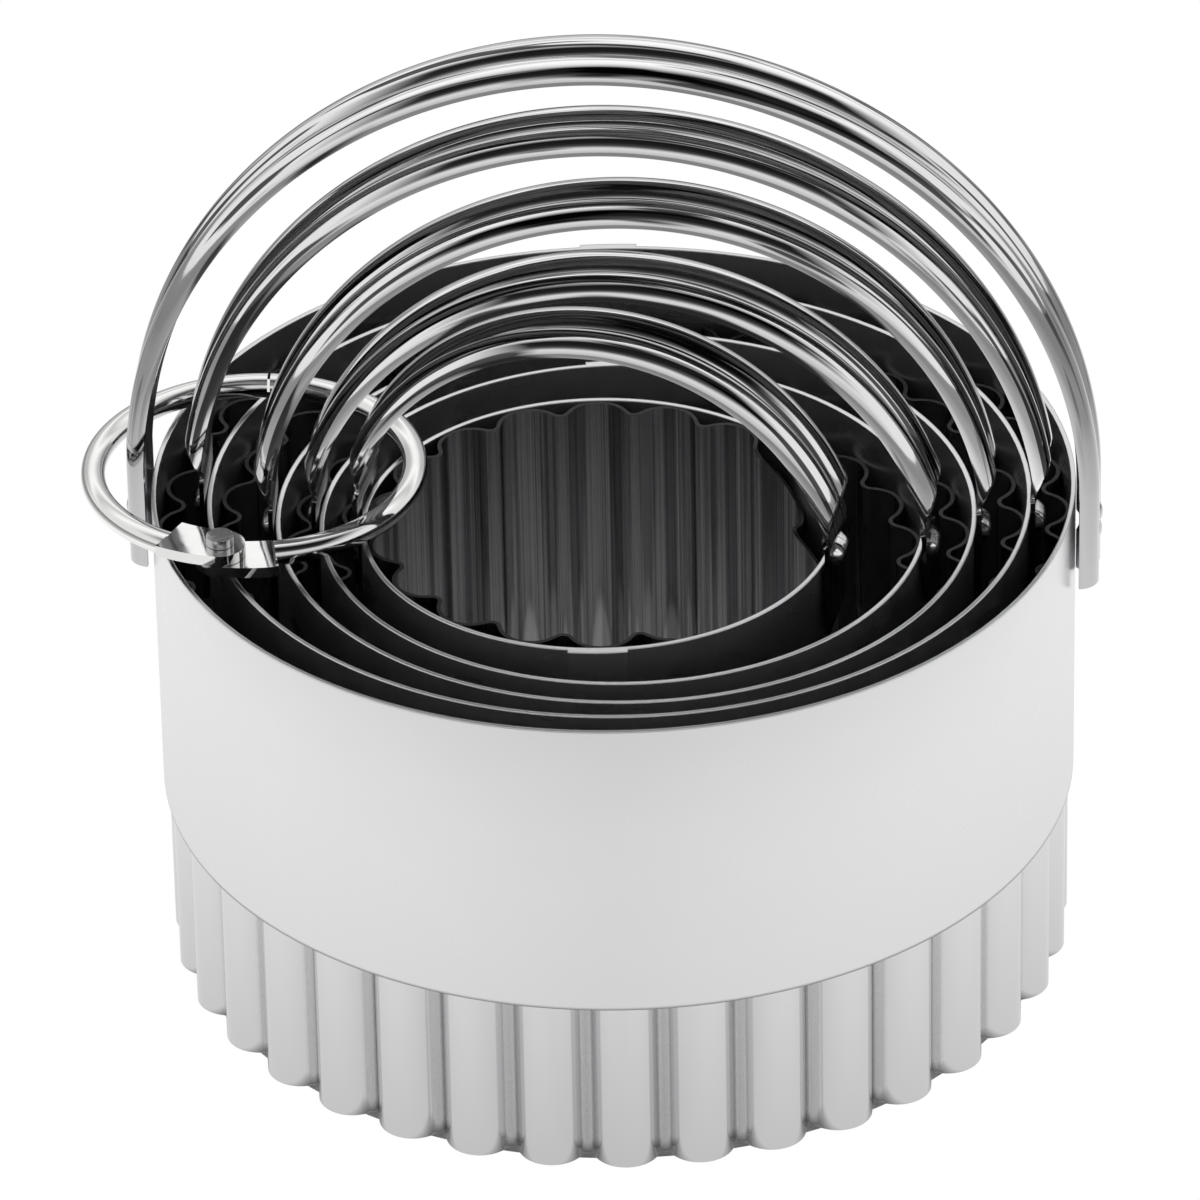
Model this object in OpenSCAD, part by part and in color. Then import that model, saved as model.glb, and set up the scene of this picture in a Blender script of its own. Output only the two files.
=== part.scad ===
// Nested set of five fluted biscuit cutters, held together by a hinged keeper ring.
// Each cutter is a smooth band, a fluted skirt fixed inside it and a beaded strap handle.
// The origin is under the middle of the whole set, level with the cutting edges. X runs along the handles.

/* [Bands] */
// Outside diameter of the largest band
largest_d = 88.9; // [80:0.1:100]
// Radius lost from the first cutter to the second
step_2 = 4.85; // [4.7:0.05:6]
// Radius lost from the second cutter to the third
step_3 = 6; // [4.9:0.05:7]
// Radius lost from the third cutter to the fourth
step_4 = 4.5; // [4.4:0.05:6]
// Radius lost from the fourth cutter to the fifth
step_5 = 6.3; // [5.5:0.05:7]
// Sheet thickness of the bands
band_t = 0.45; // [0.35:0.05:0.55]
// Height of the bands
band_h = 31.2; // [24:0.1:36]
// Width of the lap where the ends of a band are joined
lap_w = 5.6; // [3:0.1:8]

/* [Heights] */
// Height of the largest cutter, from its cutting edge to its rim
height_1 = 49.7; // [44:0.1:56]
// How much lower the second cutter's rim is
rim_drop_2 = 0.5; // [0:0.05:2]
// How much lower the third cutter's rim is
rim_drop_3 = 1.1; // [0:0.05:2]
// How much lower the fourth cutter's rim is
rim_drop_4 = 1.15; // [0:0.05:2]
// How much lower the fifth cutter's rim is
rim_drop_5 = 0.1; // [0:0.05:2]

/* [Fluted skirts] */
// Arc length of one flute
flute_pitch = 7.7; // [6.9:0.1:8.5]
// Depth of a flute, from its crown to its valley
flute_depth = 2.05; // [1.5:0.05:2.2]
// Sheet thickness of the skirts
skirt_t = 0.4; // [0.3:0.05:0.5]
// Radius of the crowns, on the outside
crown_r = 3.3; // [3:0.05:3.5]
// Distance from the rim down to the top edge of the skirt, in the first four cutters
skirt_setback = 4.2; // [1:0.1:6]
// Distance from the rim down to the top edge of the fifth cutter's skirt
skirt_setback_5 = 0.5; // [0.3:0.1:3]
// Slope of the relief cut in the fifth skirt, by its right tab, in degrees
relief_slope = 48; // [30:1:55]
// Length of that relief cut, inward from the band
relief_l = 10.8; // [6:0.1:14]
// Gap between a crown and the band that it is welded to
weld_gap = 0.03; // [0.02:0.01:0.06]

/* [Handles] */
// Height of the first handle above its rim
handle_rise_1 = 47.6; // [40:0.1:52]
// Height of the second handle above its rim
handle_rise_2 = 41.3; // [34:0.1:46]
// Height of the third handle above its rim
handle_rise_3 = 35.6; // [29:0.1:40]
// Height of the fourth handle above its rim
handle_rise_4 = 28.3; // [24:0.1:33]
// Height of the fifth handle above its rim
handle_rise_5 = 22.2; // [18:0.1:25]
// Width of the handle strap
strap_w = 8; // [6:0.1:9]
// Sheet thickness of the strap
strap_t = 0.45; // [0.35:0.05:0.55]
// Radius of each of the two beads along the strap
bead_r = 2; // [1.5:0.05:2.1]
// Height of the beads above the back of the strap
bead_h = 1.4; // [1:0.05:1.6]
// Height above the rim where the beads end
bead_end = 3; // [2.4:0.1:5]
// Slope at which the beads run out, in degrees
bead_slope = 55; // [40:1:65]
// Height above the rim where the flat leg starts to bend
bend_start = 1.8; // [1:0.1:2.4]
// Length of the flat tabs below the rim, on the first three handles
tab_l = 10.6; // [7:0.1:14]
// Length of the flat tabs of the fourth handle
tab_l_4 = 5; // [4:0.1:9]
// Length of the flat tabs of the fifth handle
tab_l_5 = 7.5; // [5:0.1:10]
// Height of the pressed knuckle on the strap
knuckle_h = 0.35; // [0.2:0.05:0.4]
// Width of the pressed knuckle along the leg
knuckle_w = 1.6; // [1:0.1:2.4]

/* [Nest] */
// Gap left where a cutter leans against the next larger one
nest_gap = 0.35; // [0.3:0.01:0.6]

/* [Keeper ring] */
// Diameter of the keeper ring's wire
wire_d = 2.4; // [2:0.05:2.6]
// Room between the outermost legs and the middle of the wire
ring_play = 4.84; // [4.6:0.02:6]
// How far the ring lies to the left of the middle of the legs
ring_shift = 0.2; // [0:0.05:0.5]
// Width of the flattened tongues at the hinge
tongue_w = 4.8; // [4:0.1:5.5]
// Thickness of the flattened tongues
tongue_t = 1.1; // [0.8:0.05:1.15]
// Diameter of the hinge rivet
rivet_d = 1.6; // [1.2:0.05:2]
// Diameter of the rivet's heads
rivet_head_d = 2.6; // [2.3:0.05:3]
// Height of the rivet's upper head
rivet_head_h = 0.9; // [0.5:0.05:1.2]
// Height of the rivet's lower head
rivet_foot_h = 0.25; // [0.15:0.05:0.3]
// Running clearance of the rivet and of the lapped faces
fit_gap = 0.05; // [0.03:0.01:0.1]

/* [Hidden] */
$fn = 96;
// Turn by which one bent length reaches into the next, in degrees
BITE = 0.5;
// How far the rounded bend stands proud of the strap
BULGE = 0.03;
// Turn from the beads' pointed ends to where their backs become hollow
HOLLOW_SETBACK = 6;
// How far a crown's arc and a valley's arc cross, so that they meet at one clear point
ARC_CROSS = 0.004;
// Gap at each end of the clasp's lap, in degrees
LAP_END = 1;
COUNT = 5;

// Bands, from the largest to the smallest
r1 = largest_d / 2;
r2 = r1 - step_2;
r3 = r2 - step_3;
r4 = r3 - step_4;
r5 = r4 - step_5;
band_r = [r1, r2, r3, r4, r5];
rim_z = [height_1, height_1 - rim_drop_2, height_1 - rim_drop_3,
         height_1 - rim_drop_4, height_1 - rim_drop_5];
setback = [skirt_setback, skirt_setback, skirt_setback, skirt_setback, skirt_setback_5];
tab = [tab_l, tab_l, tab_l, tab_l_4, tab_l_5];
handle_rise = [handle_rise_1, handle_rise_2, handle_rise_3, handle_rise_4, handle_rise_5];

// Headings in degrees: which way each handle points, and where each band's lap lies
handle_turn = [-4.7, -4.7, -2.7, -7.9, -13.6];
lap_turn = [90, 90, 90, 91, -91];
knuckle_drop = [3.1, 1.6, 1.2, 0.8, 0.3];

// Skirts
crown_reach = [for (r = band_r) r - band_t - weld_gap];
valley_reach = [for (r = crown_reach) r - flute_depth - skirt_t];
flutes = [for (r = crown_reach) round(2 * PI * r / flute_pitch)];

// Nest: each cutter leans to one side inside the next larger one, as far as nest_gap
lean_turn = [-69.7, -77, -104, -139.2];
lean = [for (i = [1:COUNT - 1]) valley_reach[i - 1] - band_r[i] - nest_gap];
shift = [for (i = [0:COUNT - 2]) lean[i] * [cos(lean_turn[i]), sin(lean_turn[i])]];
centre = [[0, 0], shift[0], shift[0] + shift[1], shift[0] + shift[1] + shift[2],
          shift[0] + shift[1] + shift[2] + shift[3]];

// Handles: an arc through the two bends, whose crown has the given rise
strap_gap = 0.05;
leg_r = [for (r = band_r) r + strap_gap];
crown_in = [for (h = handle_rise) h - bead_h];
arc_z = [for (i = [0:COUNT - 1])
         (pow(crown_in[i], 2) - pow(leg_r[i], 2) - pow(bend_start, 2)) / (2 * (crown_in[i] - bend_start))];
arc_r = [for (i = [0:COUNT - 1]) crown_in[i] - arc_z[i]];
bend_turn = [for (i = [0:COUNT - 1]) asin((bend_start - arc_z[i]) / arc_r[i])];
bead_turn = [for (i = [0:COUNT - 1]) asin((bead_end - arc_z[i]) / arc_r[i])];
bead_axis = bead_h - bead_r;

// Keeper ring: it lies just above the rims, round the left legs of all five handles
outer_leg = leg_r[0] + strap_t;
inner_leg = leg_r[COUNT - 1] * cos(handle_turn[COUNT - 1]) - centre[COUNT - 1][0];
ring_x = (outer_leg + inner_leg) / 2 + ring_shift;
ring_r = (outer_leg - inner_leg) / 2 + ring_play;
ring_rest = 0.3;
ring_y = 1;
ring_z = height_1 + ring_rest + wire_d / 2;
hinge_turn = -101;
clasp_turn = hinge_turn + 180;
clasp_half = 7;
tongue_root = 19;

// The set is moved so that the middle of its length and depth lies over the origin
reach_left = ring_x + ring_r + wire_d / 2;
reach_right = (arc_r[0] + bead_h) * cos(handle_turn[0]);
origin = [(reach_left - reach_right) / 2, -band_t / 2];

module in_place(i, z) {
    translate([origin[0] + centre[i][0], origin[1] + centre[i][1], z])
        children();
}

// A wedge of the plane between two headings
module sector(r, from, to) {
    middle = (from + to) / 2;
    polygon([[0, 0], r * [cos(from), sin(from)], r * [cos(middle), sin(middle)], r * [cos(to), sin(to)]]);
}

module band(i) {
    r = band_r[i];
    lap_half = lap_w / 2 / r * 180 / PI;
    color("gainsboro")
        in_place(i, rim_z[i] - band_h)
            linear_extrude(band_h)
                union() {
                    difference() {
                        circle(r);
                        circle(r - band_t);
                    }
                    intersection() {
                        difference() {
                            circle(r + band_t);
                            circle(r - band_t / 2);
                        }
                        sector(2 * r, lap_turn[i] - lap_half, lap_turn[i] + lap_half);
                    }
                }
}

// One side of the fluted sheet: wide crowns and narrow valleys that meet in tangent arcs
module flute_outline(i, crown, valley) {
    count = flutes[i];
    half = 180 / count;
    crown_at = crown_reach[i] - crown_r;
    valley_at = valley_axis(i);
    difference() {
        union() {
            polygon([for (k = [0:2 * count - 1])
                     let (far = k % 2 == 0, turn = -90 + k * half)
                     (far ? crown_at : valley_at) * [cos(turn), sin(turn)]]);
            for (k = [0:count - 1])
                rotate(-90 + 2 * k * half)
                    translate([crown_at, 0])
                        circle(crown);
        }
        for (k = [0:count - 1])
            rotate(-90 + (2 * k + 1) * half)
                translate([valley_at, 0])
                    circle(valley);
    }
}

// A valley's arc is centred valley_axis from the middle, where crown_r and valley_r add up to the distance
function valley_axis(i) =
    let (half = 180 / flutes[i],
         a = crown_reach[i] - crown_r,
         floor_at = crown_reach[i] - flute_depth,
         reach = floor_at - crown_r)
    (pow(a, 2) - pow(reach, 2)) / (2 * (a * cos(half) - reach));

function valley_r(i) = valley_axis(i) - (crown_reach[i] - flute_depth) + ARC_CROSS;

module skirt(i) {
    color("silver")
        in_place(i, 0)
            difference() {
                linear_extrude(rim_z[i] - setback[i])
                    difference() {
                        flute_outline(i, crown_r, valley_r(i));
                        flute_outline(i, crown_r - skirt_t, valley_r(i) + skirt_t);
                    }
                if (i == COUNT - 1)
                    relief_cut(i);
            }
}

// A slanting cut that takes the top of the skirt away from behind the right tab
module relief_cut(i) {
    rotate([0, 0, handle_turn[i]])
        translate([crown_reach[i] - relief_l, 0, rim_z[i] - setback[i]])
            rotate([0, relief_slope, 0])
                translate([-BITE, -band_r[i], 0])
                    cube([2 * band_r[i], 2 * band_r[i], band_h]);
}

// Cross-sections of the strap: x runs outward from its back, y across its width
module flat_section() {
    translate([0, -strap_w / 2])
        square([strap_t, strap_w]);
}

module bead_circles(r) {
    for (side = [-1, 1])
        translate([bead_axis, side * bead_r])
            circle(r);
}

module bead_section() {
    intersection() {
        bead_circles(bead_r);
        translate([strap_t / 2, -strap_w / 2])
            square([bead_h, strap_w]);
    }
}

// A section bent to the handle's arc, from one turn to another about the arc's axis
module bent(i, from, to) {
    rotate([90, 0, 0])
        rotate([0, 0, from])
            rotate_extrude(angle = to - from)
                translate([arc_r[i], 0])
                    children();
}

// What is cut off the right end of the beads, so that they run out in a point
module bead_end_cut(i) {
    rotate([0, -bead_turn[i], 0])
        translate([arc_r[i], 0, 0])
            rotate([0, -bead_slope, 0])
                translate([-bead_h, -strap_w, -2 * strap_w])
                    cube([2 * strap_w, 2 * strap_w, 2 * strap_w]);
}

module bent_strap(i) {
    first = bead_turn[i] + HOLLOW_SETBACK;
    difference() {
        union() {
            bent(i, bend_turn[i], 180 - bend_turn[i])
                flat_section();
            difference() {
                bent(i, bead_turn[i] - 2 * BITE, 180 - bead_turn[i] + 2 * BITE)
                    bead_section();
                bead_end_cut(i);
                mirror([1, 0, 0])
                    bead_end_cut(i);
            }
        }
        bent(i, first, 180 - first)
            bead_circles(bead_r - strap_t);
    }
}

module leg(i) {
    drop = knuckle_drop[i];
    translate([leg_r[i], -strap_w / 2, -tab[i]])
        cube([strap_t, strap_w, tab[i] + bend_start]);
    translate([leg_r[i] + strap_t / 2, 0, bend_start])
        rotate([90, 0, 0])
            cylinder(r = strap_t / 2 + BULGE, h = strap_w + 2 * BULGE, center = true);
    translate([leg_r[i] + strap_t, 0, -drop])
        intersection() {
            translate([knuckle_h - knuckle_w / 2, 0, 0])
                rotate([90, 0, 0])
                    cylinder(r = knuckle_w / 2, h = strap_w / 2, center = true);
            translate([-strap_t / 2, -strap_w / 2, -knuckle_w])
                cube([knuckle_w, strap_w, 2 * knuckle_w]);
        }
}

module handle(i) {
    color("whitesmoke")
        in_place(i, rim_z[i])
            rotate([0, 0, handle_turn[i]])
                union() {
                    translate([0, 0, arc_z[i]])
                        bent_strap(i);
                    leg(i);
                    mirror([1, 0, 0])
                        leg(i);
                }
}

// A length of the keeper ring's round wire
module wire(from, to) {
    rotate([0, 0, from])
        rotate_extrude(angle = to - from)
            translate([ring_r, 0])
                circle(d = wire_d);
}

// A flattened end of the wire, with a half-round tip, above or below the middle of the wire
module tongue(from, to, tip, side) {
    translate([0, 0, side * (fit_gap + tongue_t) / 2])
        union() {
            rotate([0, 0, from])
                rotate_extrude(angle = to - from)
                    translate([ring_r, 0])
                        square([tongue_w, tongue_t], center = true);
            rotate([0, 0, tip])
                translate([ring_r, 0, 0])
                    cylinder(d = tongue_w, h = tongue_t, center = true);
        }
}

// What is cut off the wire above or below, so that its two ends lap at the clasp
module lap_cut(from, to, side) {
    rotate([0, 0, from])
        rotate_extrude(angle = to - from)
            translate([ring_r, side * (wire_d - fit_gap / 2)])
                square([2 * wire_d, 2 * wire_d], center = true);
}

module at_ring() {
    translate([origin[0] - ring_x, origin[1] + ring_y, ring_z])
        children();
}

module at_hinge() {
    rotate([0, 0, hinge_turn])
        translate([ring_r, 0, 0])
            children();
}

module rivet_bore() {
    at_hinge()
        cylinder(d = rivet_d + 2 * fit_gap, h = 2 * wire_d, center = true);
}

module keeper_half() {
    lip_from = clasp_turn - clasp_half + LAP_END;
    wire_to = 360 + hinge_turn - tongue_root;
    color("lightgray")
        at_ring()
            difference() {
                union() {
                    wire(lip_from, wire_to);
                    tongue(wire_to - BITE, 360 + hinge_turn, hinge_turn, 1);
                }
                lap_cut(lip_from - LAP_END, clasp_turn + clasp_half, 1);
                rivet_bore();
            }
}

module keeper_gate() {
    lip_to = clasp_turn + clasp_half - LAP_END;
    wire_from = hinge_turn + tongue_root;
    color("lightgray")
        at_ring()
            difference() {
                union() {
                    wire(wire_from, lip_to);
                    tongue(hinge_turn, wire_from + BITE, hinge_turn, -1);
                }
                lap_cut(clasp_turn - clasp_half, lip_to + LAP_END, -1);
                rivet_bore();
            }
}

module keeper_rivet() {
    seat = tongue_t + 1.5 * fit_gap;
    color("darkgray")
        at_ring()
            at_hinge()
                union() {
                    cylinder(d = rivet_d, h = 2 * seat, center = true);
                    translate([0, 0, seat])
                        cylinder(d = rivet_head_d, h = rivet_head_h);
                    translate([0, 0, -seat - rivet_foot_h])
                        cylinder(d = rivet_head_d, h = rivet_foot_h);
                }
}

band(0);  // cutter_1_band
skirt(0);  // cutter_1_skirt
handle(0);  // cutter_1_handle
band(1);  // cutter_2_band
skirt(1);  // cutter_2_skirt
handle(1);  // cutter_2_handle
band(2);  // cutter_3_band
skirt(2);  // cutter_3_skirt
handle(2);  // cutter_3_handle
band(3);  // cutter_4_band
skirt(3);  // cutter_4_skirt
handle(3);  // cutter_4_handle
band(4);  // cutter_5_band
skirt(4);  // cutter_5_skirt
handle(4);  // cutter_5_handle
keeper_half();
keeper_gate();
keeper_rivet();
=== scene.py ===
"""Looks of a nested set of fluted biscuit cutters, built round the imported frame."""

import math

import bpy
from mathutils import Matrix, Vector


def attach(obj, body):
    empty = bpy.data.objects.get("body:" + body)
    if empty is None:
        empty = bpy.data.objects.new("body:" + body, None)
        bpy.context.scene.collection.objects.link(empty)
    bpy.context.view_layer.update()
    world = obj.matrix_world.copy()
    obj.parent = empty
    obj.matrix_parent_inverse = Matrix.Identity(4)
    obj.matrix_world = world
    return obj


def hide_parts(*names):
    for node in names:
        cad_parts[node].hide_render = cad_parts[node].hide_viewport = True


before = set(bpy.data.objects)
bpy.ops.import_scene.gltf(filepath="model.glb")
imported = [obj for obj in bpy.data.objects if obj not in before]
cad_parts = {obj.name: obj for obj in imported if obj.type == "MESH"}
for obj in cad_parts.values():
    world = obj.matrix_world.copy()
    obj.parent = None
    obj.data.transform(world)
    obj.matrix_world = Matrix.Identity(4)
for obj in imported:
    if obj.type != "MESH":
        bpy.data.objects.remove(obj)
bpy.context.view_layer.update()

MM = 0.001

# Sizes of the five cutters, largest first, in millimetres and degrees, as the solids have them
BAND_R = (44.45, 39.6, 33.6, 29.1, 22.8)
BAND_H = 31.2
BAND_T = 0.45
RIM_Z = (49.7, 49.2, 48.6, 48.55, 49.6)
# Where the largest cutter's axis stands in the set
SET_ORIGIN = (2.7221, -BAND_T / 2)
# Each smaller cutter leans this way against the next larger one, as far as the gap
LEAN_TURN = (-69.7, -77, -104, -139.2)
NEST_GAP = 0.35
WELD_GAP = 0.03
FLUTE_PITCH = 7.7
FLUTE_DEPTH = 2.05
SKIRT_T = 0.4
CROWN_R = 3.3
# The smallest skirt's top slopes away under its right tab, from this far inside the band
RELIEF_L = 10.8
RELIEF_SLOPE = (0, 0, 0, 0, math.tan(math.radians(48)))
HANDLE_TURN = (-4.7, -4.7, -2.7, -7.9, -13.6)
KNUCKLE_DROP = (3.1, 1.6, 1.2, 0.8, 0.3)
STRAP_W = 8.0
STRAP_T = 0.45
STRAP_GAP = 0.05
BEAD_R = 2.0
BEAD_END = 3.0
BEAD_RUN_OUT = math.tan(math.radians(35))
BEND_START = 1.8
# How far out the skirts' crowns reach, inside the bands, and how many flutes that makes
CROWN_REACH = [radius - BAND_T - WELD_GAP for radius in BAND_R]
FLUTES = [round(2 * math.pi * reach / FLUTE_PITCH) for reach in CROWN_REACH]

# Sizes in which the looks follow the photograph further than the solids do, in millimetres
HANDLE_RISE = (47.7, 41.4, 35.7, 28.4, 22.3)
SKIRT_SETBACK = (4.2, 4.2, 4.2, 4.2, 0.1)
BEAD_H = 2.3
# How round the edges are where a bead runs out into the flat strip
BEAD_SOFTENING = 0.12
# Only the largest handle's beads run on down its tabs
BEADED_TAB = (True, False, False, False, False)
TAB_L = (8.6, 10.6, 10.6, 5.0, 7.5)
KNUCKLE_H = (0.35, 0.9, 0.9, 0.9, 0.9)
KNUCKLE_W = 2.2
KNUCKLE_L = 4.0

# How finely the sheets are made, with the step along a strap in millimetres
FLUTE_STEPS = 28
STRAP_STEP = 0.35
STRAP_COLUMNS = 49
# The least turn between two faces that shows as a sharp edge
SHARP_EDGE = math.radians(38)

# How many times a noise's marks hold finer ones, and how strong these are
MARK_DETAIL = 1.0
MARK_STRENGTH = 0.6
# The two levels that a noise mostly stays between
MARKS_LOW = 0.25
MARKS_HIGH = 0.75
# How many rays feel for a fold or an edge
FEELERS = 8
# How far the painted shade in a fold reaches in millimetres, and how open the sheet is
# where that shade is full and where it ends
CREASE_REACH = 1.7
CREASE_FROM = 0.7
CREASE_TO = 0.84
FOLD_SHADE = "#18181a"
# The painted shade along the bands' lower edges, and the darkening of the largest handle's
# legs towards the bottom: the two heights in millimetres that each fades between, and its colour
BAND_FOOT = RIM_Z[0] - BAND_H
BAND_SHADE = (BAND_FOOT, BAND_FOOT + 0.32, "#8e8e90")
LEG_DARKENING = (52.0, 78.0, "#bebebf")
# The streaks in the smallest skirt, and the drawn lines in the strips: the two levels of
# the marks that they fade between, and their colour
SKIRT_STREAKS = (0.4, 0.5, "#98989a")
STRIP_LINES = (0.38, 0.44, "#505051")
# The rounding of the bands' rims, in millimetres, as far as the light shows it
RIM_ROUND = 0.2

WHITE = "#ffffff"
BLACK = "#000000"
# The radius of the floor in metres, large enough to fill every view, and its corners
FLOOR_R = 60.0
FLOOR_CORNERS = 64
# The floor under the object, where it gives little light itself
FLOOR_PAPER = "#d8d8d8"
FLOOR_ROUGHNESS = 0.9
# How bright the floor is to the object, by the distance from the middle in millimetres
FLOOR_LIGHT = (
    (0.0, BLACK),
    (42.0, BLACK),
    (43.5, "#e0e0e0"),
    (66.0, "#f0f0f0"),
    (105.0, WHITE),
    (150.0, "#dadada"),
    (210.0, "#a8a8a8"),
    (450.0, "#8c8c8c"),
)
# Its strength in front of the object and behind, and to the sides
FLOOR_FRONT = 0.97
FLOOR_SIDES = 1.1
# The light that comes in from below through the smallest cutter
BORE_R = 20.0
BORE_LIGHT = 0.11
# The room by the turn in degrees from the front horizon, over the top, to the back horizon
TENT = (
    (0.0, "#b8b8b8"),
    (24.0, "#d8d8d8"),
    (38.0, "#505050"),
    (50.0, "#202020"),
    (76.0, "#141414"),
    (86.0, "#989898"),
    (98.0, "#e4e4e4"),
    (120.0, WHITE),
    (138.0, "#c4c4c4"),
    (147.0, WHITE),
    (157.0, "#c0c0c0"),
    (180.0, "#b0b0b0"),
)
TENT_STRENGTH = 1.2
HALF_TURN = 180
# The sides of the room, from where they begin by the sine of the turn from the middle
SIDE_TONE = "#e0e0e0"
SIDES_FROM = 0.6
SIDES_FULL = 0.85

# The camera of the photograph, in millimetres and degrees
CAMERA_TARGET = (1.212, -0.225, 36.12)
CAMERA_DISTANCE = 1010.0
CAMERA_ELEVATION = 32.37
CAMERA_ROLL = -1.13
CAMERA_LENS = 312.84
CAMERA_SENSOR = 36.0

# The kinds of node that the trees use most
MATH = "ShaderNodeMath"
MIX = "ShaderNodeMix"
MAP_RANGE = "ShaderNodeMapRange"
SEPARATE = "ShaderNodeSeparateXYZ"
COMBINE = "ShaderNodeCombineXYZ"
VECTOR_MATH = "ShaderNodeVectorMath"
VECTOR_ROTATE = "ShaderNodeVectorRotate"
SET_POSITION = "GeometryNodeSetPosition"


def linear(hex_colour):
    """An sRGB hex colour as the linear colour that a socket takes, by the sRGB curve."""
    channels = [int(hex_colour[i : i + 2], 16) / 255 for i in (1, 3, 5)]
    lights = [c / 12.92 if c <= 0.04045 else ((c + 0.055) / 1.055) ** 2.4 for c in channels]
    return (*lights, 1)


def add(tree, kind, inputs=(), **settings):
    """Adds a node with its settings, and gives its inputs values or links.

    The inputs are a list, in the order of the sockets that the settings leave in use,
    or a dictionary by name. A node among them stands for its first output in use.
    """
    made = tree.nodes.new(kind)
    for name, value in settings.items():
        setattr(made, name, value)
    sockets = [socket for socket in made.inputs if socket.enabled]
    if isinstance(inputs, dict):
        sockets = [next(socket for socket in sockets if socket.name == name) for name in inputs]
        inputs = inputs.values()
    for socket, value in zip(sockets, inputs):
        if isinstance(value, bpy.types.Node):
            value = next(output for output in value.outputs if output.enabled)
        if isinstance(value, bpy.types.NodeSocket):
            tree.links.new(value, socket)
        else:
            socket.default_value = value
    return made


def new_material(name):
    """A material with an empty tree, and that tree."""
    material = bpy.data.materials.new(name)
    material.use_nodes = True
    material.node_tree.nodes.clear()
    return material, material.node_tree


def stretched_marks(tree, place, lengths):
    """Noise whose marks have the given lengths along X, Y and Z in millimetres."""
    scales = [1 / (length * MM) for length in lengths]
    stretched = add(tree, "ShaderNodeMapping", {"Vector": place, "Scale": scales})
    marks = {"Vector": stretched, "Scale": 1.0, "Detail": MARK_DETAIL, "Roughness": MARK_STRENGTH}
    return add(tree, "ShaderNodeTexNoise", marks)


def faded_in(tree, level, fade, colour):
    """The fade's own colour up to its first level, which gives way to a colour at its second."""
    start, end, own = fade
    share = add(tree, MAP_RANGE, {"Value": level, "From Min": start, "From Max": end})
    return add(tree, MIX, [share, linear(own), colour], data_type="RGBA")


def metal(
    name,
    colour,
    roughness,
    roughness_spread,
    grain,
    grain_depth,
    waves,
    wave_depth,
    heading=0.0,
    streaks=None,
    fold_shade=None,
    low=None,
    edge_round=None,
):
    """A metal whose roughness follows its grain and whose surface is a little uneven.

    grain and waves are the lengths of their marks along X, Y and Z in millimetres, and
    heading is where X points in degrees. streaks are in the grain, fold_shade is the colour
    of the painted shade deep inside a fold, low is a darker colour for the lower part, and
    edge_round softens the edges as the light shows them.
    """
    material, tree = new_material(name)
    place = add(tree, "ShaderNodeTexCoord").outputs["Object"]
    turn = math.radians(-heading)
    turned = add(tree, VECTOR_ROTATE, {"Vector": place, "Angle": turn}, rotation_type="Z_AXIS")
    marks = stretched_marks(tree, turned, grain)
    gloss = add(
        tree,
        MAP_RANGE,
        {
            "Value": marks,
            "From Min": MARKS_LOW,
            "From Max": MARKS_HIGH,
            "To Min": roughness - roughness_spread,
            "To Max": roughness + roughness_spread,
        },
    )
    swells = stretched_marks(tree, turned, waves)
    uneven = {"Strength": 1.0, "Distance": wave_depth * MM, "Height": swells}
    if edge_round:
        uneven["Normal"] = add(tree, "ShaderNodeBevel", {"Radius": edge_round * MM}, samples=FEELERS)
    grained = {"Strength": 1.0, "Distance": grain_depth * MM, "Height": marks}
    grained["Normal"] = add(tree, "ShaderNodeBump", uneven)
    body = linear(colour)
    if streaks:
        body = faded_in(tree, marks, streaks, body)
    # Painted shade: the colour darkens where little round a point is open, deep in the folds
    if fold_shade:
        reach = {"Distance": CREASE_REACH * MM}
        feeler = add(tree, "ShaderNodeAmbientOcclusion", reach, samples=FEELERS, only_local=True)
        crease = (CREASE_FROM, CREASE_TO, fold_shade)
        body = faded_in(tree, feeler.outputs["AO"], crease, body)
    # The colour fades to a darker one below a height: painted shade at the bands' feet, and the
    # largest handle's darker legs
    if low:
        start, end, shade = low
        height = add(tree, SEPARATE, [place]).outputs["Z"]
        body = faded_in(tree, height, (start * MM, end * MM, shade), body)
    shader = add(
        tree,
        "ShaderNodeBsdfPrincipled",
        {
            "Base Color": body,
            "Metallic": 1.0,
            "Roughness": gloss,
            "Normal": add(tree, "ShaderNodeBump", grained),
        },
    )
    add(tree, "ShaderNodeOutputMaterial", {"Surface": shader})
    return material


# Cold-rolled stainless sheet with a satin finish: an even, soft sheen. Its own grain is too
# fine to show, so the marks are broad and faint
band_steel = metal(
    "satin_stainless_sheet",
    "#e0e0e1",
    roughness=0.28,
    roughness_spread=0.01,
    grain=(9, 9, 5),
    grain_depth=0.0002,
    waves=(24, 24, 14),
    wave_depth=0.005,
    # Painted shade along the band's lower edge, where it meets the flutes
    low=BAND_SHADE,
    edge_round=RIM_ROUND,
)
# The same sheet after the fluting rolls: burnished in upright marks along each flute, with
# painted shade down in the folds. The marks are drawn as wide as they need to be to show
skirt_steel = metal(
    "burnished_fluted_sheet",
    "#dadadb",
    roughness=0.11,
    roughness_spread=0.03,
    grain=(0.7, 0.7, 12),
    grain_depth=0.0008,
    waves=(5, 5, 11),
    wave_depth=0.01,
    fold_shade=FOLD_SHADE,
)
# The smallest cutter's sheet, which the rolls have left with light and dark upright streaks
streaked_steel = metal(
    "streaked_fluted_sheet",
    "#dadadb",
    roughness=0.11,
    roughness_spread=0.03,
    grain=(1.9, 1.9, 300),
    grain_depth=0.001,
    waves=(5, 5, 11),
    wave_depth=0.01,
    streaks=SKIRT_STREAKS,
)
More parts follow.
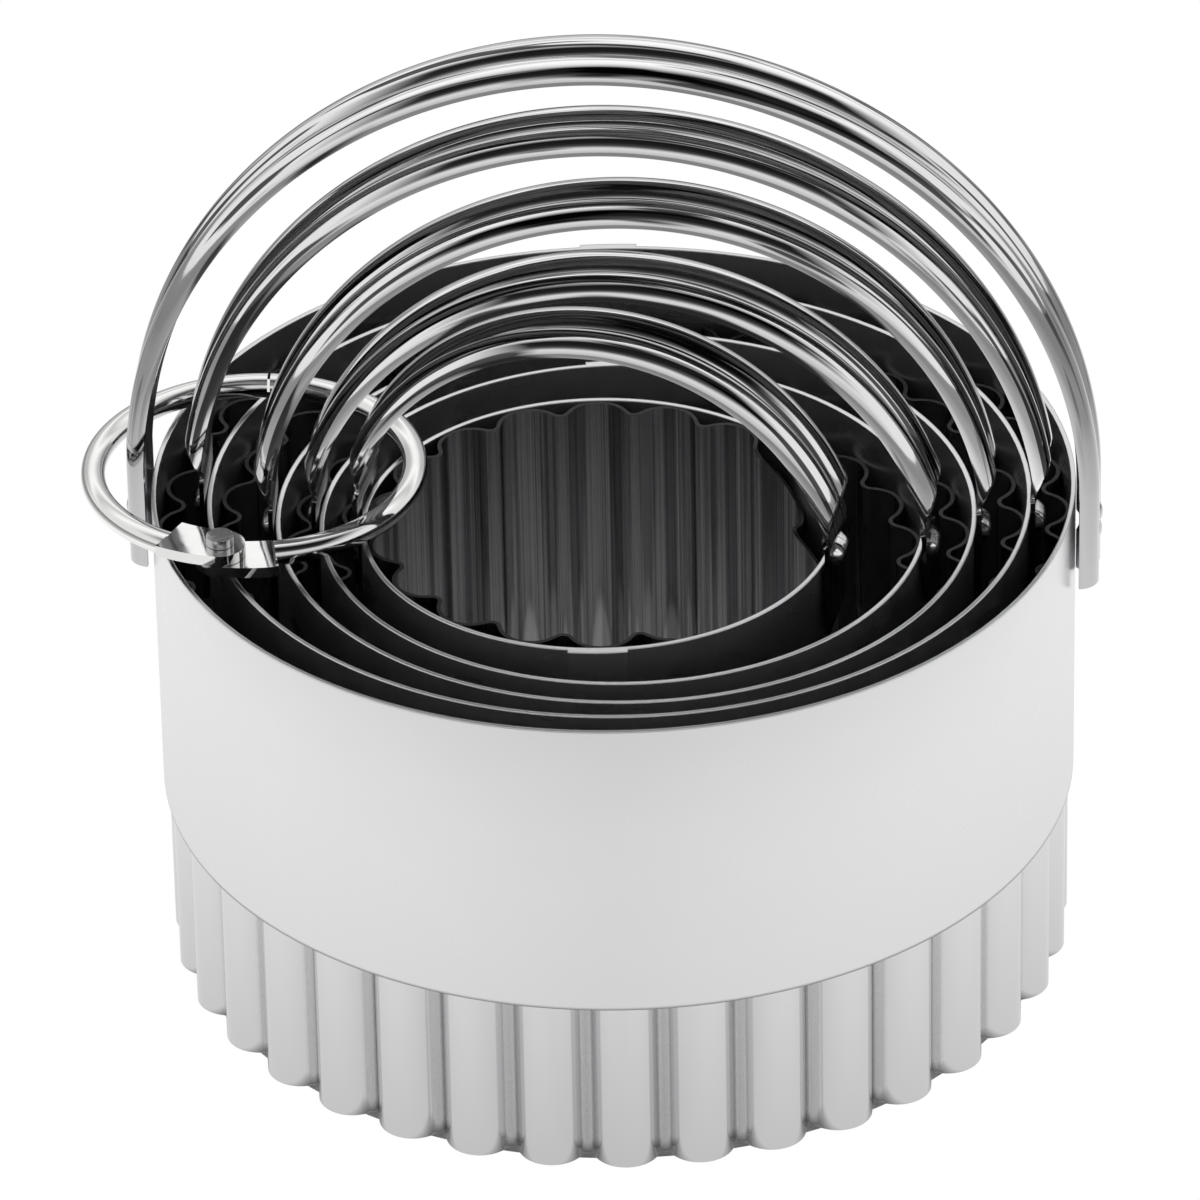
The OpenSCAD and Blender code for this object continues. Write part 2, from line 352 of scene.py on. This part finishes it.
# The sheared upper and lower ends of that sheet: dull from the shears, and painted dark
# with the shade that falls along them, so that they draw a fine line
sheared_and_shaded_edge = metal(
    "sheared_and_shaded_sheet_edge",
    "#3c3c3d",
    roughness=0.5,
    roughness_spread=0.08,
    grain=(0.5, 0.5, 0.5),
    grain_depth=0.004,
    waves=(2, 2, 2),
    wave_depth=0.01,
)
# Bright-rolled stainless strip pressed into beads: near mirror, with drawn lines that run
# along the strap and break up what it mirrors. They are drawn as wide as they need to be to show
strap_steels = [
    metal(
        f"bright_pressed_strip_{i + 1}",
        "#ececec",
        roughness=0.07,
        roughness_spread=0.04,
        grain=(22, 0.42, 22),
        grain_depth=0.014,
        waves=(14, 1.3, 14),
        wave_depth=0.05,
        heading=heading,
        streaks=STRIP_LINES,
        # The largest handle's legs are darker towards the bottom
        low=None if i else LEG_DARKENING,
    )
    for i, heading in enumerate(HANDLE_TURN)
]
# The hollow back of that strip keeps the dull grey of the mill, and mirrors nothing clearly
strap_back = metal(
    "mill_finish_strip_back",
    "#a4a4a6",
    roughness=0.36,
    roughness_spread=0.05,
    grain=(6, 6, 6),
    grain_depth=0.001,
    waves=(14, 14, 14),
    wave_depth=0.01,
)
# Nickel plate over drawn wire: a mirror with a faint orange-peel
nickel = metal(
    "nickel_plated_wire",
    "#e8e8e7",
    roughness=0.07,
    roughness_spread=0.03,
    grain=(1.5, 1.5, 1.5),
    grain_depth=0.002,
    waves=(5, 5, 5),
    wave_depth=0.03,
)
# A peened rivet: hammered, so duller than the plate round it
rivet_steel = metal(
    "peened_rivet_steel",
    "#cfcfcf",
    roughness=0.24,
    roughness_spread=0.06,
    grain=(0.6, 0.6, 0.6),
    grain_depth=0.02,
    waves=(1.5, 1.5, 1.5),
    wave_depth=0.05,
)


def new_tree(name, sizes):
    """A geometry tree with a named input for each size and the material, and those inputs."""
    tree = bpy.data.node_groups.new(name, "GeometryNodeTree")
    tree.is_modifier = True
    tree.interface.new_socket("Geometry", in_out="OUTPUT", socket_type="NodeSocketGeometry")
    for size in sizes:
        tree.interface.new_socket(size, in_out="INPUT", socket_type="NodeSocketFloat")
    tree.interface.new_socket("Material", in_out="INPUT", socket_type="NodeSocketMaterial")
    return tree, add(tree, "NodeGroupInput").outputs


def end_tree(tree, given, geometry):
    """Ends a tree in Realize Instances and Set Material."""
    real = add(tree, "GeometryNodeRealizeInstances", {"Geometry": geometry})
    dressed = {"Geometry": real, "Material": given["Material"]}
    add(tree, "NodeGroupOutput", {"Geometry": add(tree, "GeometryNodeSetMaterial", dressed)})


def half_chord(tree, radius, away):
    """Half the width of a circle at a distance from its middle, and 0 beyond the circle."""
    whole = add(tree, MATH, [radius, 2.0], operation="POWER")
    lost = add(tree, MATH, [away, 2.0], operation="POWER")
    left = add(tree, MATH, [whole, lost], operation="SUBTRACT")
    return add(tree, MATH, [add(tree, MATH, [left, 0.0], operation="MAXIMUM")], operation="SQRT")


def radial_distance(tree, centre, radius, turn, side):
    """How far out a circle on a spoke lies, at a turn from that spoke.

    side is ADD for the far side of the circle, and SUBTRACT for its near side.
    """
    sine = add(tree, MATH, [turn], operation="SINE")
    cosine = add(tree, MATH, [turn], operation="COSINE")
    across = add(tree, MATH, [centre, sine], operation="MULTIPLY")
    along = add(tree, MATH, [centre, cosine], operation="MULTIPLY")
    return add(tree, MATH, [along, half_chord(tree, radius, across)], operation=side)


def flute_reach(tree, given, place):
    """How far out the middle of the fluted sheet lies at a place on the unit circle.

    The first crown stands at the front, and each flute is the same on both of its sides.
    """
    parts = add(tree, SEPARATE, [place]).outputs
    heading = add(tree, MATH, [parts["Y"], parts["X"]], operation="ARCTAN2")
    from_front = add(tree, MATH, [heading, math.pi / 2], operation="ADD")
    half = add(tree, MATH, [math.pi, given["Flutes"]], operation="DIVIDE")
    other_half = add(tree, MATH, [half, -1.0], operation="MULTIPLY")
    in_flute = add(tree, MATH, [from_front, half, other_half], operation="WRAP")
    turn = add(tree, MATH, [in_flute], operation="ABSOLUTE")
    rest = add(tree, MATH, [half, turn], operation="SUBTRACT")
    crown = radial_distance(tree, given["Crown centre"], given["Crown radius"], turn, "ADD")
    valley = radial_distance(tree, given["Valley centre"], given["Valley radius"], rest, "SUBTRACT")
    in_valley = add(tree, MATH, [turn, given["Tangent turn"]], operation="GREATER_THAN")
    return add(tree, MIX, [in_valley, crown, valley])


def relief_drop(tree, given, place):
    """How far the top edge is cut away: on a slope, past a line on one side of the sheet."""
    back = add(tree, MATH, [given["Relief turn"], -1.0], operation="MULTIPLY")
    level = add(tree, VECTOR_ROTATE, {"Vector": place, "Angle": back}, rotation_type="Z_AXIS")
    ahead = add(tree, SEPARATE, [level]).outputs["X"]
    beyond = add(tree, MATH, [ahead, given["Relief at"]], operation="SUBTRACT")
    past = add(tree, MATH, [beyond, 0.0], operation="MAXIMUM")
    downhill = add(tree, MATH, [given["Relief slope"], -1.0], operation="MULTIPLY")
    return add(tree, MATH, [past, downhill], operation="MULTIPLY")


def fluted_sheet_tree():
    """A round sheet with wide crowns and narrow valleys that meet in tangent arcs."""
    tree, given = new_tree(
        "fluted_sheet",
        (
            "Flutes",
            "Steps per flute",
            "Crown centre",
            "Crown radius",
            "Valley centre",
            "Valley radius",
            "Tangent turn",
            "Height",
            "Relief at",
            "Relief slope",
            "Relief turn",
        ),
    )
    points = add(tree, MATH, [given["Flutes"], given["Steps per flute"]], operation="MULTIPLY")
    circle = add(tree, "GeometryNodeCurvePrimitiveCircle", {"Resolution": points, "Radius": 1.0})
    place = add(tree, "GeometryNodeInputPosition")
    spread = add(tree, VECTOR_MATH, [place, flute_reach(tree, given, place)], operation="SCALE")
    wavy = add(tree, SET_POSITION, {"Geometry": circle, "Position": spread})
    outline = add(tree, "GeometryNodeCurveToMesh", {"Curve": wavy})
    upward = add(tree, COMBINE, {"Z": 1.0})
    rise = {"Mesh": outline, "Offset": upward, "Offset Scale": given["Height"]}
    sheet = add(tree, "GeometryNodeExtrudeMesh", rise, mode="EDGES")
    relieved = add(
        tree,
        SET_POSITION,
        {
            "Geometry": sheet.outputs["Mesh"],
            "Selection": sheet.outputs["Top"],
            "Offset": add(tree, COMBINE, {"Z": relief_drop(tree, given, place)}),
        },
    )
    end_tree(tree, given, relieved)
    return tree


def from_bead_middle(tree, given, flat_away):
    """How far a column lies from its bead's middle, when the columns go evenly round the bead."""
    evenly = add(tree, MATH, [flat_away, given["Bead spacing"]], operation="SUBTRACT")
    share = add(tree, MATH, [evenly, given["Bead radius"]], operation="DIVIDE")
    turn = add(tree, MATH, [share, math.pi / 2], operation="MULTIPLY")
    sine = add(tree, MATH, [turn], operation="SINE")
    return add(tree, MATH, [given["Bead radius"], sine], operation="MULTIPLY")


def bead_height(tree, given, run, from_bead):
    """How high a bead stands on the strap, with a slope at its end that runs out softly."""
    round_top = half_chord(tree, given["Bead radius"], from_bead)
    bead = add(tree, MATH, [round_top, given["Bead lift"]], operation="ADD")
    to_end = add(tree, MATH, [given["Bead half length"], run], operation="SUBTRACT")
    ramp = add(tree, MATH, [to_end, given["Run out"]], operation="MULTIPLY")
    softly = BEAD_SOFTENING * MM
    run_out = add(tree, MATH, [bead, ramp, 2 * softly], operation="SMOOTH_MIN")
    return add(tree, MATH, [run_out, 0.0, softly], operation="SMOOTH_MAX")


def knuckle_height(tree, given, run, sideways):
    """How high a leg's knuckle stands: round along the leg, and nearly square across it."""
    half_width = add(tree, MATH, [given["Knuckle width"], 2.0], operation="DIVIDE")
    half_length = add(tree, MATH, [given["Knuckle length"], 2.0], operation="DIVIDE")
    away = add(tree, MATH, [run, given["Knuckle at"]], operation="SUBTRACT")
    along = add(tree, MATH, [away, half_width], operation="DIVIDE")
    across = add(tree, MATH, [sideways, half_length], operation="DIVIDE")
    round_along = add(tree, MATH, [along, 2.0], operation="POWER")
    square_across = add(tree, MATH, [across, 4.0], operation="POWER")
    spent = add(tree, MATH, [round_along, square_across], operation="ADD")
    left = add(tree, MATH, [1.0, spent], operation="SUBTRACT")
    domed = add(tree, MATH, [add(tree, MATH, [left, 0.0], operation="MAXIMUM")], operation="SQRT")
    return add(tree, MATH, [given["Knuckle height"], domed], operation="MULTIPLY")


def strap_tree():
    """A strip bent over an arc between two legs, with two pressed beads and a knuckle on each leg.

    The strip starts as a flat grid. run is the way along it from the middle of the arc.
    """
    tree, given = new_tree(
        "beaded_strap",
        (
            "Rows",
            "Columns",
            "Length",
            "Width",
            "Arc radius",
            "Arc height",
            "Arc half length",
            "Leg distance",
            "Bead half length",
            "Bead radius",
            "Bead spacing",
            "Bead lift",
            "Run out",
            "Knuckle at",
            "Knuckle height",
            "Knuckle width",
            "Knuckle length",
        ),
    )
    grid = add(
        tree,
        "GeometryNodeMeshGrid",
        {
            "Size X": given["Length"],
            "Size Y": given["Width"],
            "Vertices X": given["Rows"],
            "Vertices Y": given["Columns"],
        },
    )
    flat = add(tree, SEPARATE, [add(tree, "GeometryNodeInputPosition")]).outputs
    side = add(tree, MATH, [flat["X"]], operation="SIGN")
    run = add(tree, MATH, [flat["X"]], operation="ABSOLUTE")
    on_arc = add(tree, MATH, [run, given["Arc half length"]], operation="MINIMUM")
    down_leg = add(tree, MATH, [run, on_arc], operation="SUBTRACT")
    is_leg = add(tree, MATH, [down_leg, 0.0], operation="GREATER_THAN")
    from_top = add(tree, MATH, [on_arc, given["Arc radius"]], operation="DIVIDE")
    turn = add(tree, MATH, [math.pi / 2, from_top], operation="SUBTRACT")
    arc_out = add(tree, MATH, [turn], operation="COSINE")
    arc_up = add(tree, MATH, [turn], operation="SINE")

    flat_side = add(tree, MATH, [flat["Y"]], operation="SIGN")
    flat_away = add(tree, MATH, [flat["Y"]], operation="ABSOLUTE")
    from_bead = from_bead_middle(tree, given, flat_away)
    away = add(tree, MATH, [given["Bead spacing"], from_bead], operation="ADD")
    sideways = add(tree, MATH, [flat_side, away], operation="MULTIPLY")
    bead = bead_height(tree, given, run, from_bead)
    knuckle = knuckle_height(tree, given, run, sideways)
    height = add(tree, MATH, [bead, knuckle], operation="ADD")

    reach_out = add(tree, MATH, [given["Arc radius"], arc_out], operation="MULTIPLY")
    reach_up = add(tree, MATH, [given["Arc radius"], arc_up], operation="MULTIPLY")
    above = add(tree, MATH, [given["Arc height"], reach_up], operation="ADD")
    base_out = add(tree, MIX, [is_leg, reach_out, given["Leg distance"]])
    base_up = add(tree, MATH, [above, down_leg], operation="SUBTRACT")
    normal_out = add(tree, MIX, [is_leg, arc_out, 1.0])
    normal_up = add(tree, MIX, [is_leg, arc_up, 0.0])
    lift_out = add(tree, MATH, [normal_out, height], operation="MULTIPLY")
    lift_up = add(tree, MATH, [normal_up, height], operation="MULTIPLY")
    place_out = add(tree, MATH, [base_out, lift_out], operation="ADD")
    place_up = add(tree, MATH, [base_up, lift_up], operation="ADD")
    place_side = add(tree, MATH, [place_out, side], operation="MULTIPLY")
    placed = add(tree, COMBINE, [place_side, sideways, place_up])
    end_tree(tree, given, add(tree, SET_POSITION, {"Geometry": grid, "Position": placed}))
    return tree


def grown(name, tree, sizes, material):
    """The mesh that a tree makes from the given sizes."""
    carrier = bpy.data.objects.new(name, bpy.data.meshes.new(name))
    bpy.context.scene.collection.objects.link(carrier)
    modifier = carrier.modifiers.new(name, "NODES")
    modifier.node_group = tree
    values = dict(sizes, Material=material)
    for item in tree.interface.items_tree:
        if item.in_out == "INPUT":
            value = values[item.name]
            modifier[item.identifier] = value if item.name == "Material" else float(value)
    evaluated = carrier.evaluated_get(bpy.context.evaluated_depsgraph_get())
    mesh = bpy.data.meshes.new_from_object(evaluated)
    mesh.name = name
    bpy.data.objects.remove(carrier)
    return mesh


def face_outward(mesh, axis_point):
    """Turns an open sheet's faces away from a point."""
    facing = sum(face.normal.dot(face.center - axis_point) * face.area for face in mesh.polygons)
    if facing < 0:
        mesh.flip_normals()


def walled(name, mesh, thickness, offset, edge, back, even):
    """An object made of a sheet with a wall of the given thickness.

    offset is -1 where the sheet is the wall's outside and 0 where it is its middle, and
    even keeps the wall as thick in its bends. The edges and the back have materials of
    their own.
    """
    mesh.materials.append(edge)
    mesh.materials.append(back)
    sheet = bpy.data.objects.new(name, mesh)
    bpy.context.scene.collection.objects.link(sheet)
    wall = sheet.modifiers.new("wall", "SOLIDIFY")
    wall.thickness = thickness
    wall.offset = offset
    wall.use_even_offset = even
    wall.material_offset_rim = 1
    wall.material_offset = 2
    evaluated = sheet.evaluated_get(bpy.context.evaluated_depsgraph_get())
    solid = bpy.data.meshes.new_from_object(evaluated)
    sheet.modifiers.clear()
    sheet.data = solid
    solid.shade_smooth()
    solid.set_sharp_from_angle(angle=SHARP_EDGE)
    return sheet


def axis_of(i):
    """Where a cutter's axis stands on the floor, in metres."""
    axis = Vector((*SET_ORIGIN, 0))
    for outer in range(i):
        valley_reach = CROWN_REACH[outer] - FLUTE_DEPTH - SKIRT_T
        lean = valley_reach - BAND_R[outer + 1] - NEST_GAP
        heading = math.radians(LEAN_TURN[outer])
        axis += lean * Vector((math.cos(heading), math.sin(heading), 0))
    return axis * MM


def in_place(i, height, turn=0.0):
    """A cutter's place at a height on its own axis, turned by some degrees, as a matrix."""
    moved = Matrix.Translation(axis_of(i) + Vector((0, 0, height * MM)))
    return moved @ Matrix.Rotation(math.radians(turn), 4, "Z")


def skirt_sizes(i):
    """The arcs of one cutter's flutes, in metres and radians, at the middle of the sheet."""
    half = math.pi / FLUTES[i]
    crown_centre = CROWN_REACH[i] - CROWN_R
    valley_floor = CROWN_REACH[i] - FLUTE_DEPTH
    reach = valley_floor - CROWN_R
    valley_centre = (crown_centre**2 - reach**2) / (2 * (crown_centre * math.cos(half) - reach))
    crown_radius = CROWN_R - SKIRT_T / 2
    valley_radius = valley_centre - valley_floor + SKIRT_T / 2
    share = crown_radius / (crown_radius + valley_radius)
    meet_x = crown_centre + share * (valley_centre * math.cos(half) - crown_centre)
    meet_y = share * valley_centre * math.sin(half)
    return {
        "Flutes": FLUTES[i],
        "Steps per flute": FLUTE_STEPS,
        "Crown centre": crown_centre * MM,
        "Crown radius": crown_radius * MM,
        "Valley centre": valley_centre * MM,
        "Valley radius": valley_radius * MM,
        "Tangent turn": math.atan2(meet_y, meet_x),
        "Height": (RIM_Z[i] - SKIRT_SETBACK[i]) * MM,
        "Relief at": (CROWN_REACH[i] - RELIEF_L) * MM,
        "Relief slope": RELIEF_SLOPE[i],
        "Relief turn": math.radians(HANDLE_TURN[i]),
    }


def strap_sizes(i):
    """The arc, legs, beads and knuckles of one handle, in metres, on the outside of the strip."""
    leg = BAND_R[i] + STRAP_GAP
    crown_in = HANDLE_RISE[i] - BEAD_H
    arc_height = (crown_in**2 - leg**2 - BEND_START**2) / (2 * (crown_in - BEND_START))
    arc_inside = crown_in - arc_height
    bend_turn = math.asin((BEND_START - arc_height) / arc_inside)
    bead_turn = math.asin((BEAD_END - arc_height) / arc_inside)
    arc = arc_inside + STRAP_T
    arc_half = arc * (math.pi / 2 - bend_turn)
    half_length = arc_half + BEND_START + TAB_L[i]
    bead_half = arc * (math.pi / 2 - bead_turn)
    if BEADED_TAB[i]:
        bead_half = half_length + BEAD_H / BEAD_RUN_OUT
    return {
        "Rows": 2 * round(half_length / STRAP_STEP) + 1,
        "Columns": STRAP_COLUMNS,
        "Length": 2 * half_length * MM,
        "Width": STRAP_W * MM,
        "Arc radius": arc * MM,
        "Arc height": arc_height * MM,
        "Arc half length": arc_half * MM,
        "Leg distance": (leg + STRAP_T) * MM,
        "Bead half length": bead_half * MM,
        "Bead radius": BEAD_R * MM,
        "Bead spacing": BEAD_R * MM,
        "Bead lift": (BEAD_H - BEAD_R - STRAP_T) * MM,
        "Run out": BEAD_RUN_OUT,
        "Knuckle at": (arc_half + BEND_START + KNUCKLE_DROP[i]) * MM,
        "Knuckle height": KNUCKLE_H[i] * MM,
        "Knuckle width": KNUCKLE_W * MM,
        "Knuckle length": KNUCKLE_L * MM,
    }


fluted_sheet = fluted_sheet_tree()
beaded_strap = strap_tree()

for i in range(len(BAND_R)):
    body = f"cutter_{i + 1}"
    sheet_steel = streaked_steel if i == len(BAND_R) - 1 else skirt_steel
    mesh = grown(f"{body}_fluted_sheet", fluted_sheet, skirt_sizes(i), sheet_steel)
    face_outward(mesh, Vector((0, 0, RIM_Z[i] / 2 * MM)))
    mesh.transform(in_place(i, 0))
    skirt = walled(
        f"{body}_fluted_skirt",
        mesh,
        SKIRT_T * MM,
        offset=0.0,
        edge=sheared_and_shaded_edge,
        back=sheet_steel,
        even=True,
    )
    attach(skirt, body)
    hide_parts(f"{body}_skirt")

    strap_steel = strap_steels[i]
    mesh = grown(f"{body}_strap", beaded_strap, strap_sizes(i), strap_steel)
    face_outward(mesh, Vector((0, 0, 0)))
    mesh.transform(in_place(i, RIM_Z[i], HANDLE_TURN[i]))
    handle = walled(
        f"{body}_beaded_handle",
        mesh,
        STRAP_T * MM,
        offset=-1.0,
        edge=strap_steel,
        back=strap_back,
        even=False,
    )
    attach(handle, body)
    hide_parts(f"{body}_handle")

for node, material in (
    ("keeper_half", nickel),
    ("keeper_gate", nickel),
    ("keeper_rivet", rivet_steel),
    *((f"cutter_{i + 1}_band", band_steel) for i in range(len(BAND_R))),
):
    for material_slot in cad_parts[node].material_slots:
        material_slot.material = material


def fill_ramp(stops, tones):
    """Gives a colour ramp its tones, as pairs of a position and a hex colour."""
    stops[0].position, stops[1].position = tones[0][0], tones[-1][0]
    stops[0].color, stops[1].color = linear(tones[0][1]), linear(tones[-1][1])
    for position, colour in tones[1:-1]:
        stops.new(position).color = linear(colour)


def light_table():
    """The floor's material: white and bright by itself, with less light from further away."""
    material, tree = new_material("white_light_table")
    place = add(tree, "ShaderNodeTexCoord").outputs["Object"]
    seen = add(tree, "ShaderNodeLightPath").outputs["Is Camera Ray"]
    away = add(tree, VECTOR_MATH, [place, axis_of(0)], operation="DISTANCE")
    smallest = axis_of(len(BAND_R) - 1)
    from_bore = add(tree, VECTOR_MATH, [place, smallest], operation="DISTANCE")
    in_bore = add(tree, MATH, [from_bore, BORE_R * MM], operation="LESS_THAN")
    under = (BAND_R[0] - FLUTE_DEPTH) * MM
    outside = add(tree, MATH, [away, under], operation="GREATER_THAN")

    reach = FLOOR_LIGHT[-1][0]
    outward = add(tree, MATH, [away, reach * MM], operation="DIVIDE")
    lit = add(tree, "ShaderNodeValToRGB", [outward])
    fill_ramp(lit.color_ramp.elements, [(far / reach, colour) for far, colour in FLOOR_LIGHT])
    plain = add(tree, MATH, [seen, in_bore], operation="MAXIMUM")
    colour = add(tree, MIX, [plain, lit, linear(WHITE)], data_type="RGBA")

    direction = add(tree, VECTOR_MATH, [place], operation="NORMALIZE")
    sideways = add(tree, SEPARATE, [direction]).outputs["X"]
    across = add(tree, MATH, [sideways], operation="ABSOLUTE")
    strength = {"Value": across, "To Min": FLOOR_FRONT, "To Max": FLOOR_SIDES}
    glow = add(tree, MIX, [seen, add(tree, MAP_RANGE, strength), outside])
    spill = add(tree, MATH, [in_bore, BORE_LIGHT], operation="MULTIPLY")
    shader = add(
        tree,
        "ShaderNodeBsdfPrincipled",
        {
            "Base Color": add(
                tree, MIX, [outside, linear(FLOOR_PAPER), linear(BLACK)], data_type="RGBA"
            ),
            "Roughness": FLOOR_ROUGHNESS,
            "Specular IOR Level": 0.0,
            "Emission Color": colour,
            "Emission Strength": add(tree, MIX, [in_bore, glow, spill]),
        },
    )
    add(tree, "ShaderNodeOutputMaterial", {"Surface": shader})
    return material


def stand_floor():
    """A wide floor that the object stands on."""
    bpy.ops.mesh.primitive_circle_add(vertices=FLOOR_CORNERS, radius=FLOOR_R, fill_type="NGON")
    floor = bpy.context.active_object
    floor.name = "pale_floor"
    floor.data.materials.append(light_table())


def light_studio():
    """A white tent with a dark gap above the camera, which bright steel shows as dark streaks."""
    world = bpy.data.worlds.new("white_tent")
    bpy.context.scene.world = world
    world.use_nodes = True
    tree = world.node_tree
    tree.nodes.clear()
    heading = add(tree, "ShaderNodeTexCoord").outputs["Generated"]
    parts = add(tree, SEPARATE, [heading]).outputs
    to_front = add(tree, MATH, [parts["Y"], -1.0], operation="MULTIPLY")
    over = add(tree, MATH, [parts["Z"], to_front], operation="ARCTAN2")
    tent = add(tree, "ShaderNodeValToRGB", [add(tree, MATH, [over, math.pi], operation="DIVIDE")])
    fill_ramp(tent.color_ramp.elements, [(turn / HALF_TURN, colour) for turn, colour in TENT])
    across = add(tree, MATH, [parts["X"]], operation="ABSOLUTE")
    span = {"Value": across, "From Min": SIDES_FROM, "From Max": SIDES_FULL}
    sideways = add(tree, MAP_RANGE, span)
    light = add(tree, MIX, [sideways, tent, linear(SIDE_TONE)], data_type="RGBA")
    room = add(tree, "ShaderNodeBackground", {"Color": light, "Strength": TENT_STRENGTH})
    backdrop = add(tree, "ShaderNodeBackground", {"Color": linear(WHITE), "Strength": 1.0})
    seen = add(tree, "ShaderNodeLightPath").outputs["Is Camera Ray"]
    both = add(tree, "ShaderNodeMixShader", [seen, room, backdrop])
    add(tree, "ShaderNodeOutputWorld", {"Surface": both})


def set_camera():
    """The photograph's camera, which looks down on the set from the front."""
    elevation = math.radians(CAMERA_ELEVATION)
    roll = math.radians(CAMERA_ROLL)
    forward = Vector((0, math.cos(elevation), -math.sin(elevation)))
    level = Vector((1, 0, 0))
    upright = level.cross(forward)
    right = level * math.cos(roll) + upright * math.sin(roll)
    up = upright * math.cos(roll) - level * math.sin(roll)
    data = bpy.data.cameras.new("camera")
    data.lens = CAMERA_LENS
    data.sensor_width = CAMERA_SENSOR
    # Far enough to see the whole floor
    data.clip_end = 2 * FLOOR_R
    camera = bpy.data.objects.new("camera", data)
    bpy.context.scene.collection.objects.link(camera)
    turned = Matrix((right, up, -forward)).transposed().to_4x4()
    target = Vector(CAMERA_TARGET) * MM
    camera.matrix_world = Matrix.Translation(target - forward * CAMERA_DISTANCE * MM) @ turned
    bpy.context.scene.camera = camera


stand_floor()
light_studio()
set_camera()
bpy.context.scene.view_settings.view_transform = "Standard"
